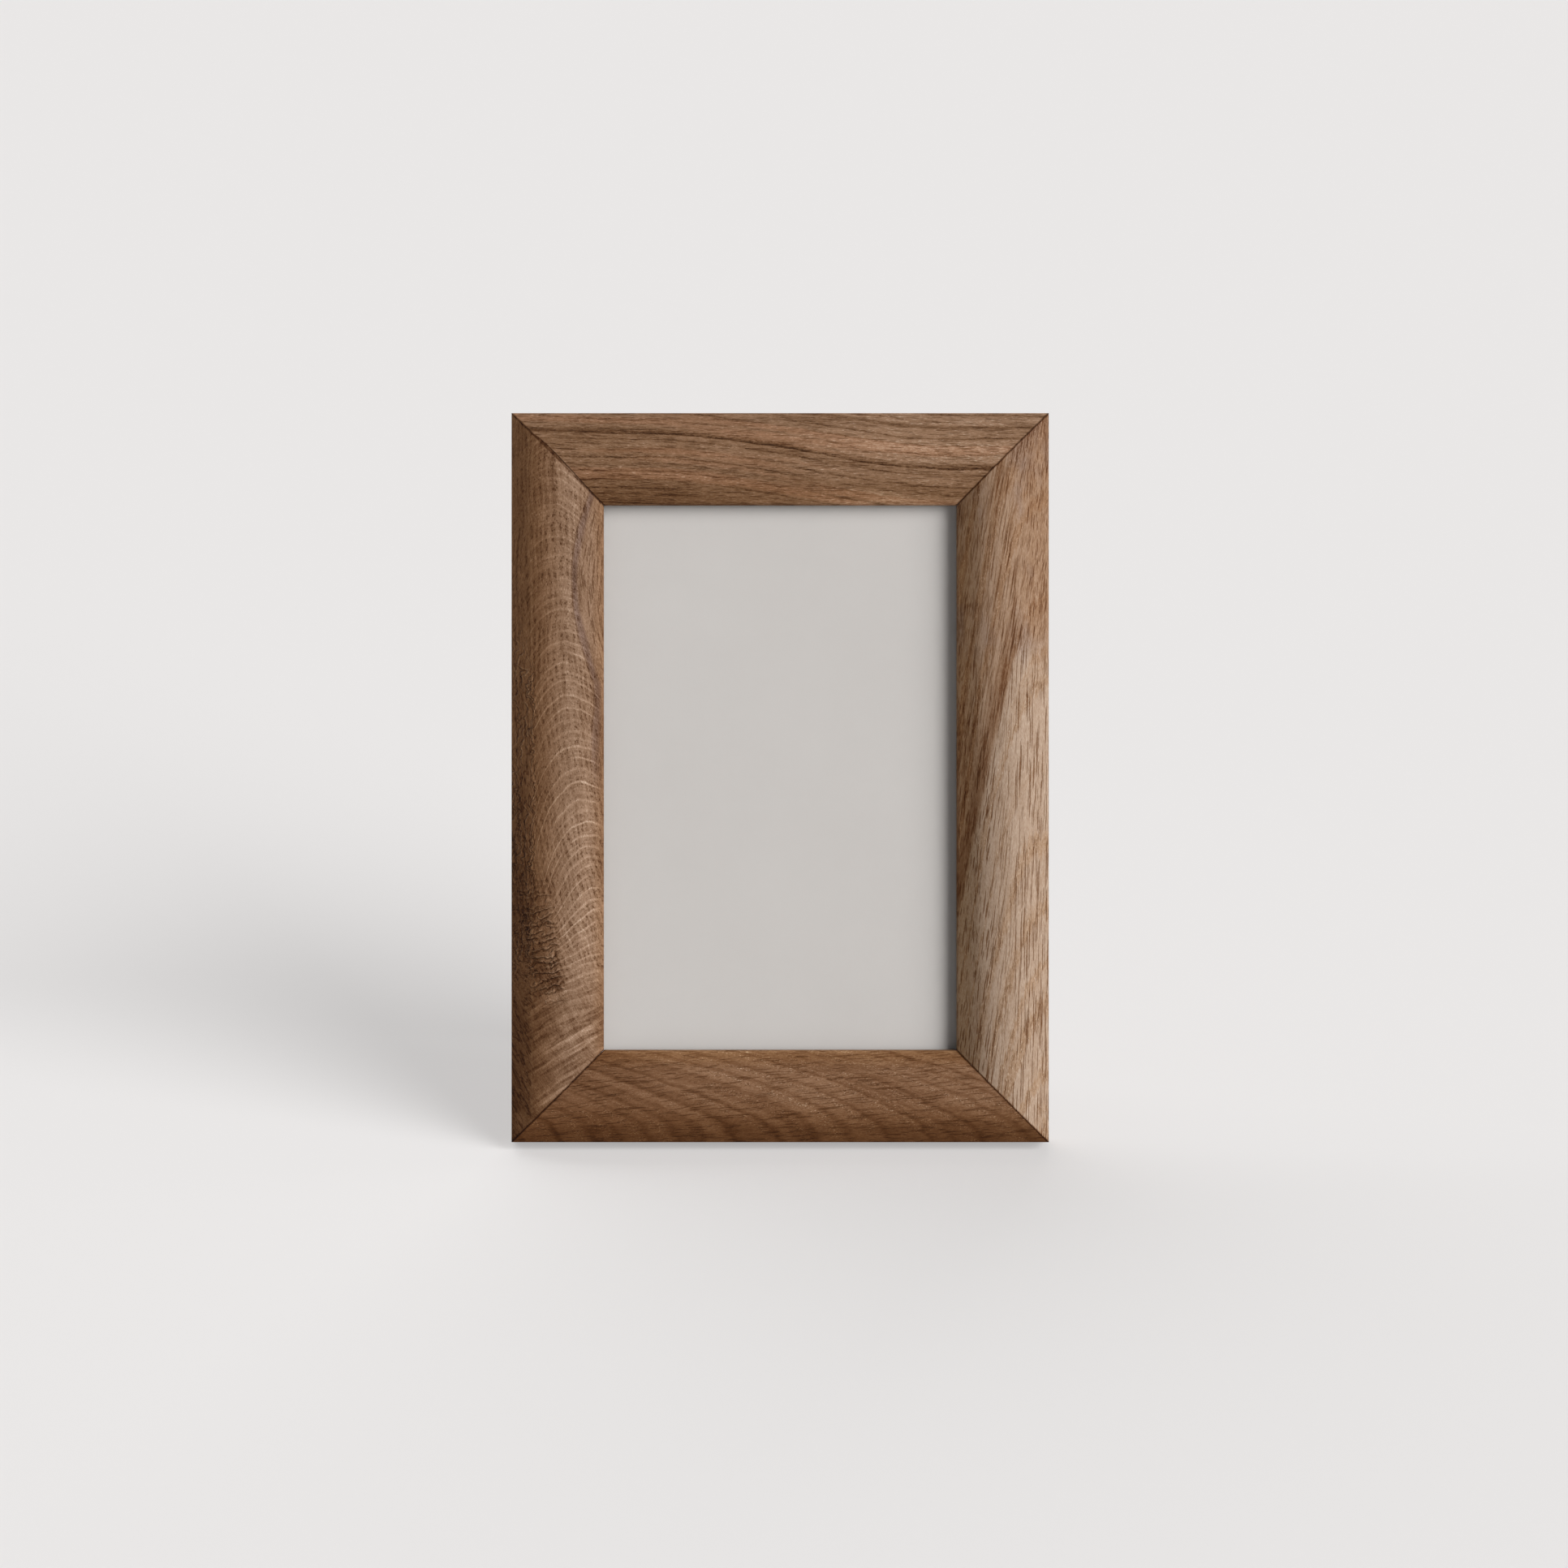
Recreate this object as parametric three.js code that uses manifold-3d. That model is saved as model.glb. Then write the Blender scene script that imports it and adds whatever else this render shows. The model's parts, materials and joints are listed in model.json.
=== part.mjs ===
// Oak table frame for a 100 x 150 mm photograph, standing on its folding back leg.
//
// Four mitred oak rails with a rounded ridge hold a glass pane, a blank paper insert, a filler card
// and a hardboard back. Four swivelling clips keep the back in, and a hinged leg props the frame up.
// Millimetres, +Z up. The front faces -Y, and left and right are as seen from the front.

import * as THREE from "three";
import { mergeVertices } from "three/addons/utils/BufferGeometryUtils.js";
import Module from "manifold-3d";

const wasm = await Module();
wasm.setup();

// Outside of the frame and section of its rails
const frameWidth = 140;
const frameHeight = 190;
const railWidth = 24;
const outerEdgeHeight = 10.5;
const ridgeHeight = 16.2;
const ridgeFlat = 3.5; // how far the ridge stays level either side of the middle
const flankReach = 5; // how far each flank runs straight from its edge
const outerFlankSlope = 0.64;
const innerFlankSlope = 0.58;
const edgeRadius = 0.5;
const rebateWidth = 4.8;
const lipThickness = 2;
const mitreGap = 0.2;

// What lies in the rebate, from the lip to the back
const glassThickness = 2;
const insertThickness = 0.3;
const fillerThickness = 3;
const backThickness = 3;
const layerGap = 0.1; // between pieces that lie on each other
const paneClearance = 0.8; // between the panes and the rebate, on each side

// Bent steel wedges that pin the mitres from the back
const wedgePlaces = [6.5, 13]; // from both outer edges
const wedgeReach = 2; // from the bend to the tips, along the mitre's normal
const wedgeSpread = 3.5; // from the bend to each tip, along the mitre
const wedgeThickness = 0.5;
const wedgeDepth = 6;
const seatGap = 0.1; // between a fastener and its own hole

// Swivelling clips and their screws
const clipThickness = 0.8;
const clipPivotRadius = 4.5;
const clipTipRadius = 3;
const clipArm = 9.5;
const clipFromRebate = 8.5;
const clipFromFrameEnd = 48;
const screwRadius = 1.2;
const screwDepth = 9; // how far it goes into the rail
const screwTip = 2;
const screwHeadRadius = 2.6;
const screwHeadHeight = 1.5;
const runningGap = 0.09; // between a screw or pin and what turns on it

// Hinge of the leg
const hingeBelowTop = 42;
const hingeWidth = 24;
const middleKnuckleWidth = 11.4;
const knuckleGap = 0.3;
const pinRadius = 0.9;
const pinHeadRadius = 1.5;
const pinHeadLength = 0.6;
const leafThickness = 0.8;
const fixedLeafLength = 15;
const movingLeafLength = 17;
const stopLength = 6.5;
const rivetRadius = 1.1;
const rivetHeadRadius = 2.1;
const rivetHeadHeight = 0.9;
const rivetSpacing = 15;
const rivetFromLeafEnd = 4.5;

// Leg
const legThickness = 3;
const closedLegGap = 0.4; // between the folded leg and the back
const footAboveBase = 3; // when the leg is folded
const legTopWidth = 32;
const legFootWidth = 46;
const legCornerRadius = 4;
const legOpening = THREE.MathUtils.degToRad(25);

// Sawtooth hanger on the top rail
const hangerLength = 40;
const hangerHeight = 8;
const hangerThickness = 0.8;
const hangerEar = 6;
const hangerRamp = 2;
const hangerStandOff = 1.7;
const hangerFromTop = 4;
const toothCount = 9;
const toothPitch = 2.2;
const toothDepth = 1.6;
const toothLand = 0.2; // left between two notches
const nailRadius = 0.6;
const nailDepth = 8; // how far it goes into the rail
const nailTip = 1;
const nailHeadRadius = 1.6;
const nailHeadHeight = 0.6;

const curveSteps = 8;
const roundSides = 24;
const domeSteps = 4;
const beyond = 1; // how far a cutting tool runs past the face it cuts

// Worked out from the sizes above
const paneStack = glassThickness + insertThickness + fillerThickness + backThickness;
const rebateDepth = paneStack + 4 * layerGap;
const innerEdgeHeight = lipThickness + rebateDepth;
const rebateEdge = railWidth - rebateWidth; // from the outer edge
const paneWidth = frameWidth - 2 * rebateEdge - 2 * paneClearance;
const paneHeight = frameHeight - 2 * rebateEdge - 2 * paneClearance;
const hingeAboveBase = frameHeight - hingeBelowTop;
const legLength = hingeAboveBase - footAboveBase; // from the pin
const knuckleRadius = (closedLegGap + legThickness + leafThickness) / 2;
const pinBehindBack = layerGap + knuckleRadius;
const legFront = closedLegGap - pinBehindBack; // from the pin
const legMiddle = legFront + legThickness / 2;

const oak = (colour) =>
  new THREE.MeshStandardMaterial({ color: colour, roughness: 0.62, metalness: 0 });
const oakLeft = oak(0x7f6047);
const oakRight = oak(0x977b66);
const oakTop = oak(0x846549);
const oakBottom = oak(0x74553c);
const hardboard = new THREE.MeshStandardMaterial({ color: 0x6b4a33, roughness: 0.7 });
const card = new THREE.MeshStandardMaterial({ color: 0xb79a72, roughness: 0.9 });
const paper = new THREE.MeshStandardMaterial({ color: 0xc9c5c0, roughness: 0.9 });
const glass = new THREE.MeshStandardMaterial({
  color: 0xf4f8f6,
  roughness: 0.03,
  transparent: true,
  opacity: 0.25,
});
const zinc = new THREE.MeshStandardMaterial({ color: 0xb6b7b5, roughness: 0.35, metalness: 1 });
const brass = new THREE.MeshStandardMaterial({ color: 0xc0a05a, roughness: 0.35, metalness: 1 });

function solidOf(geometry) {
  const bare = geometry.clone();
  bare.deleteAttribute("normal");
  bare.deleteAttribute("uv");
  const merged = mergeVertices(bare, 1e-4);
  return new wasm.Manifold(
    new wasm.Mesh({
      numProp: 3,
      vertProperties: new Float32Array(merged.attributes.position.array),
      triVerts: new Uint32Array(merged.index.array),
    }),
  );
}

function geometryOf(solid) {
  const mesh = solid.getMesh();
  const geometry = new THREE.BufferGeometry();
  geometry.setAttribute("position", new THREE.BufferAttribute(mesh.vertProperties, 3));
  geometry.setIndex(new THREE.BufferAttribute(mesh.triVerts, 1));
  geometry.computeVertexNormals();
  return geometry;
}

function cut(geometry, tools) {
  return geometryOf(tools.reduce((solid, tool) => solid.subtract(solidOf(tool)), solidOf(geometry)));
}

function join(geometries) {
  return geometryOf(geometries.map(solidOf).reduce((a, b) => a.add(b)));
}

function piece(name, geometry, material) {
  const mesh = new THREE.Mesh(geometry, material);
  mesh.name = name;
  return mesh;
}

// A flat outline drawn in X and Z, as a plate from `front` back to `front + thickness` in Y.
function plate(outline, front, thickness) {
  const geometry = new THREE.ExtrudeGeometry(outline, {
    depth: thickness,
    steps: 1,
    bevelEnabled: false,
    curveSegments: curveSteps,
  });
  return geometry.rotateX(Math.PI / 2).translate(0, front + thickness, 0);
}

// A round rod along Y, from `front` back to `back`.
function rod(radius, front, back) {
  const middle = (front + back) / 2;
  return new THREE.CylinderGeometry(radius, radius, back - front, roundSides).translate(0, middle, 0);
}

// A round rod along X, centred on the origin.
function crossRod(radius, length) {
  return new THREE.CylinderGeometry(radius, radius, length, roundSides).rotateZ(Math.PI / 2);
}

// Radius at which a many-sided hole clears a shaft all round by the running gap.
function runningFit(shaftRadius) {
  return (shaftRadius + runningGap) / Math.cos(Math.PI / roundSides);
}

// A fastener along Y. Its shank runs forwards from the seat, and its low domed head stands behind it.
function fastener({ shankRadius, shankLength, tipLength, headRadius, headHeight, seat }) {
  const rimHeight = 0.35 * headHeight;
  const tipRadius = tipLength > 0 ? 0.35 * shankRadius : shankRadius;
  const profile = [
    new THREE.Vector2(0, seat - shankLength),
    new THREE.Vector2(tipRadius, seat - shankLength),
  ];
  if (tipLength > 0) {
    profile.push(new THREE.Vector2(shankRadius, seat - shankLength + tipLength));
  }
  profile.push(new THREE.Vector2(shankRadius, seat), new THREE.Vector2(headRadius, seat));
  for (let i = 0; i < domeSteps; i++) {
    const angle = (i / domeSteps) * (Math.PI / 2);
    const rise = rimHeight + (headHeight - rimHeight) * Math.sin(angle);
    profile.push(new THREE.Vector2(headRadius * Math.cos(angle), seat + rise));
  }
  profile.push(new THREE.Vector2(0, seat + headHeight));
  return new THREE.LatheGeometry(profile, roundSides);
}

// Section of a rail: across runs inwards from the outer edge, and up forwards from the back face.
function railSection() {
  const middle = railWidth / 2;
  const outerShoulder = outerEdgeHeight + edgeRadius * outerFlankSlope;
  const outerFlank = outerEdgeHeight + flankReach * outerFlankSlope;
  const innerShoulder = innerEdgeHeight + edgeRadius * innerFlankSlope;
  const innerFlank = innerEdgeHeight + flankReach * innerFlankSlope;
  const section = new THREE.Shape();
  section.moveTo(0, 0);
  section.lineTo(0, outerEdgeHeight - edgeRadius);
  section.quadraticCurveTo(0, outerEdgeHeight, edgeRadius, outerShoulder);
  section.bezierCurveTo(
    flankReach,
    outerFlank,
    middle - ridgeFlat,
    ridgeHeight,
    middle,
    ridgeHeight,
  );
  section.bezierCurveTo(
    middle + ridgeFlat,
    ridgeHeight,
    railWidth - flankReach,
    innerFlank,
    railWidth - edgeRadius,
    innerShoulder,
  );
  section.quadraticCurveTo(railWidth, innerEdgeHeight, railWidth, innerEdgeHeight - edgeRadius);
  section.lineTo(railWidth, rebateDepth);
  section.lineTo(rebateEdge, rebateDepth);
  section.lineTo(rebateEdge, 0);
  section.closePath();
  return section;
}

// A rail along Z with both ends mitred, each drawn back from the joint by half the gap.
function mitredRail(length) {
  const geometry = new THREE.ExtrudeGeometry(railSection(), {
    depth: length,
    steps: 1,
    bevelEnabled: false,
    curveSegments: curveSteps,
  });
  const position = geometry.attributes.position;
  const drawnBack = (mitreGap / 2) * Math.SQRT2;
  for (let i = 0; i < position.count; i++) {
    const setBack = position.getX(i) + drawnBack;
    const atFarEnd = position.getZ(i) > length / 2;
    position.setZ(i, atFarEnd ? length - setBack : setBack);
  }
  return geometry;
}

const corners = [
  { name: "lower_left", x: -1, z: -1 },
  { name: "lower_right", x: 1, z: -1 },
  { name: "upper_right", x: 1, z: 1 },
  { name: "upper_left", x: -1, z: 1 },
];

// A bent wedge across a mitre. `grow` widens it on every side into the slot that it is driven into.
function wedge(corner, fromEdge, grow) {
  const tip = wedgeSpread + grow;
  const run = (wedgeReach / wedgeSpread) * tip;
  const near = grow * Math.SQRT2;
  const far = -wedgeThickness - near;
  const outline = new THREE.Shape();
  outline.moveTo(near, 0);
  outline.lineTo(near - run, tip);
  outline.lineTo(far - run, tip);
  outline.lineTo(far, 0);
  outline.lineTo(far - run, -tip);
  outline.lineTo(near - run, -tip);
  outline.closePath();
  const back = grow > 0 ? beyond : -seatGap;
  return plate(outline, -wedgeDepth - grow, wedgeDepth + grow + back)
    .rotateY(Math.atan2(corner.z, -corner.x))
    .translate(
      corner.x * (frameWidth / 2 - fromEdge),
      0,
      frameHeight / 2 + corner.z * (frameHeight / 2 - fromEdge),
    );
}

const clips = corners.map((corner) => ({
  name: corner.name,
  side: corner.x,
  x: corner.x * (frameWidth / 2 - rebateEdge + clipFromRebate),
  z: frameHeight / 2 + corner.z * (frameHeight / 2 - clipFromFrameEnd),
}));

const hangerMiddle = frameHeight - hangerFromTop - hangerHeight / 2;
const hangerNails = [
  { name: "left", x: -(hangerLength - hangerEar) / 2 },
  { name: "right", x: (hangerLength - hangerEar) / 2 },
];

function railTools() {
  const wedgeSlots = corners.flatMap((corner) =>
    wedgePlaces.map((place) => wedge(corner, place, seatGap)),
  );
  const screwHoles = clips.map((clip) =>
    rod(screwRadius + seatGap, -screwDepth, beyond).translate(clip.x, 0, clip.z),
  );
  const nailHoles = hangerNails.map((nail) =>
    rod(nailRadius + seatGap, -nailDepth, beyond).translate(nail.x, 0, hangerMiddle),
  );
  return [...wedgeSlots, ...screwHoles, ...nailHoles];
}

function rails(parent) {
  const forwards = new THREE.Vector3(0, -1, 0);
  const tools = railTools();
  const sides = [
    { name: "bottom_rail", inwards: [0, 0, 1], along: [1, 0, 0], length: frameWidth, wood: oakBottom },
    { name: "right_rail", inwards: [-1, 0, 0], along: [0, 0, 1], length: frameHeight, wood: oakRight },
    { name: "top_rail", inwards: [0, 0, -1], along: [-1, 0, 0], length: frameWidth, wood: oakTop },
    { name: "left_rail", inwards: [1, 0, 0], along: [0, 0, -1], length: frameHeight, wood: oakLeft },
  ];
  for (const side of sides) {
    const inwards = new THREE.Vector3(...side.inwards);
    const along = new THREE.Vector3(...side.along);
    const outerCorner = new THREE.Vector3(
      (-(inwards.x + along.x) * frameWidth) / 2,
      0,
      ((1 - inwards.z - along.z) * frameHeight) / 2,
    );
    const place = new THREE.Matrix4().makeBasis(inwards, forwards, along).setPosition(outerCorner);
    const geometry = mitredRail(side.length).applyMatrix4(place);
    parent.add(piece(side.name, cut(geometry, tools), side.wood));
  }
}

function mitreWedges(parent) {
  for (const corner of corners) {
    wedgePlaces.forEach((place, i) => {
      parent.add(piece(`mitre_wedge_${corner.name}_${i + 1}`, wedge(corner, place, 0), zinc));
    });
  }
}

const rivetColumns = [
  { name: "left", x: -rivetSpacing / 2 },
  { name: "right", x: rivetSpacing / 2 },
];
const backRivetHeight = hingeAboveBase + fixedLeafLength - rivetFromLeafEnd;

// A pane that fills the rebate, its front face `fromLip` behind the lip.
function pane(fromLip, thickness) {
  return new THREE.BoxGeometry(paneWidth, thickness, paneHeight).translate(
    0,
    -rebateDepth + fromLip + thickness / 2,
    frameHeight / 2,
  );
}

function panes(parent) {
  const glassFront = layerGap;
  const insertFront = glassFront + glassThickness + layerGap;
  const fillerFront = insertFront + insertThickness + layerGap;
  const backFront = fillerFront + fillerThickness + layerGap;
  parent.add(piece("glass_pane", pane(glassFront, glassThickness), glass));
  parent.add(piece("paper_insert", pane(insertFront, insertThickness), paper));
  parent.add(piece("filler_card", pane(fillerFront, fillerThickness), card));
  const rivetHoles = rivetColumns.map((column) =>
    rod(rivetRadius + seatGap, -backThickness - beyond, beyond).translate(
      column.x,
      0,
      backRivetHeight,
    ),
  );
  parent.add(piece("back_board", cut(pane(backFront, backThickness), rivetHoles), hardboard));
}

// A swivelling clip lying along +X, about its screw at the origin.
function clipGeometry() {
  const tangent = Math.acos((clipPivotRadius - clipTipRadius) / clipArm);
  const outline = new THREE.Shape();
  outline.absarc(0, 0, clipPivotRadius, tangent, 2 * Math.PI - tangent, false);
  outline.absarc(clipArm, 0, clipTipRadius, -tangent, tangent, false);
  outline.closePath();
  const hole = rod(runningFit(screwRadius), -beyond, layerGap + clipThickness + beyond);
  return cut(plate(outline, layerGap, clipThickness), [hole]);
}

function swivelClips(parent) {
  const seat = layerGap + clipThickness + layerGap;
  for (const clip of clips) {
    const body = piece(`swivel_clip_${clip.name}`, clipGeometry(), zinc);
    body.position.set(clip.x, 0, clip.z);
    body.rotation.y = clip.side > 0 ? Math.PI : 0;
    parent.add(body);
    const shape = fastener({
      shankRadius: screwRadius,
      shankLength: seat + screwDepth - seatGap,
      tipLength: screwTip,
      headRadius: screwHeadRadius,
      headHeight: screwHeadHeight,
      seat,
    });
    const screw = piece(`clip_screw_${clip.name}`, shape, zinc);
    screw.position.set(clip.x, 0, clip.z);
    parent.add(screw);
  }
}

// A strip with flat ears and a raised middle, toothed along its lower edge.
function hangerStrip() {
  const end = hangerLength / 2;
  const ear = end - hangerEar;
  const raised = ear - hangerRamp;
  const low = layerGap;
  const high = layerGap + hangerStandOff;
  const course = [
    [-end, low],
    [-ear, low],
    [-raised, high],
    [raised, high],
    [ear, low],
    [end, low],
  ];
  const inner = course.map(([x, y]) => new THREE.Vector2(x, y));
  const outer = course.map(([x, y]) => new THREE.Vector2(x, y + hangerThickness)).reverse();
  return new THREE.ExtrudeGeometry(new THREE.Shape([...inner, ...outer]), {
    depth: hangerHeight,
    bevelEnabled: false,
  }).translate(0, 0, -hangerHeight / 2);
}

function hanger(parent) {
  const lowerEdge = -hangerHeight / 2;
  const notchHalf = (toothPitch - toothLand) / 2;
  const back = layerGap + hangerStandOff + hangerThickness + beyond;
  const notch = new THREE.Shape();
  notch.moveTo(-notchHalf, lowerEdge - beyond);
  notch.lineTo(notchHalf, lowerEdge - beyond);
  notch.lineTo(notchHalf, lowerEdge);
  notch.lineTo(0, lowerEdge + toothDepth);
  notch.lineTo(-notchHalf, lowerEdge);
  notch.closePath();
  const tools = hangerNails.map((nail) =>
    rod(nailRadius + seatGap, -beyond, back).translate(nail.x, 0, 0),
  );
  for (let i = 0; i < toothCount; i++) {
    const across = (i - (toothCount - 1) / 2) * toothPitch;
    tools.push(plate(notch, -beyond, back + beyond).translate(across, 0, 0));
  }
  const strip = piece("sawtooth_hanger", cut(hangerStrip(), tools), zinc);
  strip.position.z = hangerMiddle;
  parent.add(strip);
  const seat = layerGap + hangerThickness + layerGap;
  for (const nail of hangerNails) {
    const shape = fastener({
      shankRadius: nailRadius,
      shankLength: seat + nailDepth - seatGap,
      tipLength: nailTip,
      headRadius: nailHeadRadius,
      headHeight: nailHeadHeight,
      seat,
    });
    const driven = piece(`hanger_nail_${nail.name}`, shape, zinc);
    driven.position.set(nail.x, 0, hangerMiddle);
    parent.add(driven);
  }
}

// A rolled barrel about the pin at the origin, with a leaf that runs towards +Z or -Z.
function hingeLeaf(leafFront, leafEnd) {
  const flat = new THREE.BoxGeometry(hingeWidth, leafThickness, Math.abs(leafEnd)).translate(
    0,
    leafFront + leafThickness / 2,
    leafEnd / 2,
  );
  return join([crossRod(knuckleRadius, hingeWidth), flat]);
}

// Takes away a barrel between x = from and x = to, with room for the other leaf's barrel.
function barrelSlot(from, to) {
  const reach = 2 * (knuckleRadius + knuckleGap);
  return new THREE.BoxGeometry(to - from, reach, reach).translate((from + to) / 2, 0, 0);
}

function fixedHingeLeaf(parent) {
  const slotHalf = middleKnuckleWidth / 2 + knuckleGap;
  const rivetHoles = rivetColumns.map((column) =>
    rod(rivetRadius + seatGap, -knuckleRadius - beyond, 0).translate(
      column.x,
      0,
      fixedLeafLength - rivetFromLeafEnd,
    ),
  );
  const leaf = cut(hingeLeaf(-knuckleRadius, fixedLeafLength), [
    crossRod(runningFit(pinRadius), hingeWidth + 2 * beyond),
    barrelSlot(-slotHalf, slotHalf),
    ...rivetHoles,
  ]);
  parent.add(piece("fixed_hinge_leaf", leaf, zinc));
}

// The pin, with a flat head at each end.
function hingePin(parent) {
  const headMiddle = hingeWidth / 2 + layerGap + pinHeadLength / 2;
  const shank = crossRod(pinRadius, 2 * headMiddle);
  const heads = [-1, 1].map((end) =>
    crossRod(pinHeadRadius, pinHeadLength).translate(end * headMiddle, 0, 0),
  );
  parent.add(piece("hinge_pin", join([shank, ...heads]), zinc));
}

function backRivets(parent) {
  const seat = layerGap + leafThickness + layerGap;
  for (const column of rivetColumns) {
    const shape = fastener({
      shankRadius: rivetRadius,
      shankLength: seat + backThickness - seatGap,
      tipLength: 0,
      headRadius: rivetHeadRadius,
      headHeight: rivetHeadHeight,
      seat,
    });
    const rivet = piece(`back_rivet_${column.name}`, shape, brass);
    rivet.position.set(column.x, 0, backRivetHeight);
    parent.add(rivet);
  }
}

// Outline of the leg below the pin, running past the foot by `spare` for the floor to cut.
function legOutline(spare) {
  const top = -(knuckleRadius + knuckleGap);
  const foot = -legLength;
  const topHalf = legTopWidth / 2;
  const footHalf = legFootWidth / 2;
  const round = legCornerRadius;
  const outline = new THREE.Shape();
  outline.moveTo(-topHalf + round, top);
  outline.lineTo(topHalf - round, top);
  outline.quadraticCurveTo(topHalf, top, topHalf, top - round);
  outline.lineTo(footHalf, foot + round);
  outline.quadraticCurveTo(footHalf, foot, footHalf - round, foot);
  outline.lineTo(footHalf - round, foot - spare);
  outline.lineTo(-footHalf + round, foot - spare);
  outline.lineTo(-footHalf + round, foot);
  outline.quadraticCurveTo(-footHalf, foot, -footHalf, foot + round);
  outline.lineTo(-topHalf, top - round);
  outline.quadraticCurveTo(-topHalf, top, -topHalf + round, top);
  outline.closePath();
  return outline;
}

// The leg, drawn folded about the pin. `floorTilt` is the floor's slope across its foot.
function legBoard(parent, rivetHoles, floorTilt) {
  const spare = 10;
  const floor = new THREE.BoxGeometry(2 * legFootWidth, 4 * spare, 2 * spare)
    .translate(0, 0, -spare)
    .rotateX(-floorTilt)
    .translate(0, legMiddle, -legLength);
  const blank = plate(legOutline(spare), legFront, legThickness);
  parent.add(piece("leg_board", cut(blank, [floor, ...rivetHoles]), hardboard));
}

// The leaf on the leg. Its stop meets the fixed leaf when the leg is open.
function movingHingeLeaf(parent, rivetHoles) {
  const side = middleKnuckleWidth / 2;
  const end = hingeWidth / 2 + beyond;
  const leaf = cut(hingeLeaf(knuckleRadius - leafThickness, -movingLeafLength), [
    barrelSlot(-end, -side),
    barrelSlot(side, end),
    ...rivetHoles,
  ]);
  const stopMiddle = -knuckleRadius + leafThickness + layerGap + leafThickness / 2;
  const stop = new THREE.BoxGeometry(middleKnuckleWidth, leafThickness, stopLength)
    .translate(0, stopMiddle, stopLength / 2)
    .rotateX(-legOpening);
  const bore = crossRod(runningFit(pinRadius), hingeWidth);
  parent.add(piece("moving_hinge_leaf", cut(join([leaf, stop]), [bore]), zinc));
}

function leg(parent, floorTilt) {
  const rivetAt = -movingLeafLength + rivetFromLeafEnd;
  const seat = knuckleRadius + layerGap;
  const rivetHoles = rivetColumns.map((column) =>
    rod(rivetRadius + seatGap, legFront - beyond, seat + beyond).translate(column.x, 0, rivetAt),
  );
  legBoard(parent, rivetHoles, floorTilt);
  movingHingeLeaf(parent, rivetHoles);
  for (const column of rivetColumns) {
    const shape = fastener({
      shankRadius: rivetRadius,
      shankLength: seat - legFront - seatGap,
      tipLength: 0,
      headRadius: rivetHeadRadius,
      headHeight: rivetHeadHeight,
      seat,
    });
    const rivet = piece(`leg_rivet_${column.name}`, shape, brass);
    rivet.position.set(column.x, 0, rivetAt);
    parent.add(rivet);
  }
}

// How far the frame leans back when the open leg and the bottom rail stand on one floor.
function leanOfFrame() {
  const across = legMiddle * Math.cos(legOpening) + legLength * Math.sin(legOpening);
  const down = legLength * Math.cos(legOpening) - legMiddle * Math.sin(legOpening);
  return Math.atan2(hingeAboveBase - down, pinBehindBack + across);
}

// The frame is drawn upright on its lower back edge, then leans back as one piece.
const frame = new THREE.Group();
rails(frame);
mitreWedges(frame);
panes(frame);
swivelClips(frame);
hanger(frame);
backRivets(frame);

const hinge = new THREE.Group();
hinge.position.set(0, pinBehindBack, hingeAboveBase);
fixedHingeLeaf(hinge);
hingePin(hinge);
frame.add(hinge);

const lean = leanOfFrame();
const openLeg = new THREE.Group();
openLeg.rotation.x = legOpening;
leg(openLeg, legOpening - lean);
hinge.add(openLeg);

frame.rotation.x = -lean;
frame.updateMatrixWorld(true);
const extent = new THREE.Box3().setFromObject(frame, true);
frame.position.y = -(extent.min.y + extent.max.y) / 2;
frame.position.z = -extent.min.z;

const pictureFrame = new THREE.Group();
pictureFrame.add(frame);

export default pictureFrame;
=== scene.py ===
"""Oak table frame for a 100 x 150 mm photograph, leaning back on its folding leg.

Metres and +Z up. The front faces -Y, and left and right are as seen from the front.
The pieces are made upright and lean back as they are put in.
"""

import json
import math

import bpy
from mathutils import Matrix, Vector

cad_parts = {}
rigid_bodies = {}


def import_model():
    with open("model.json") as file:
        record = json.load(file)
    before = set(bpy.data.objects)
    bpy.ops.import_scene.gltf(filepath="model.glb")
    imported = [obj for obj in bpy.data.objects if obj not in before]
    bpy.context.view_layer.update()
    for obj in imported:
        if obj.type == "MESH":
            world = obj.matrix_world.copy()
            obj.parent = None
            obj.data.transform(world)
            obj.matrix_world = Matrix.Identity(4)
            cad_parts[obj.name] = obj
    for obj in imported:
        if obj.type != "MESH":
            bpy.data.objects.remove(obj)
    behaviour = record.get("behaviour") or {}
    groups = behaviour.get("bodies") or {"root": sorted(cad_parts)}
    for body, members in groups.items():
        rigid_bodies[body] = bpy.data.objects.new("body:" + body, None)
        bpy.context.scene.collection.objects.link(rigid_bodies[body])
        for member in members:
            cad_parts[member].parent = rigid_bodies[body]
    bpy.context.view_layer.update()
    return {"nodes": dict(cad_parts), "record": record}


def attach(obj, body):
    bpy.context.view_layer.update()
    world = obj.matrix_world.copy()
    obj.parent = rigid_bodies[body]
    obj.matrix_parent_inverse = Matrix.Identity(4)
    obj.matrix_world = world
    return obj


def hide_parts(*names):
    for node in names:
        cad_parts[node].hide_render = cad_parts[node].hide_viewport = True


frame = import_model()

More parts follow.
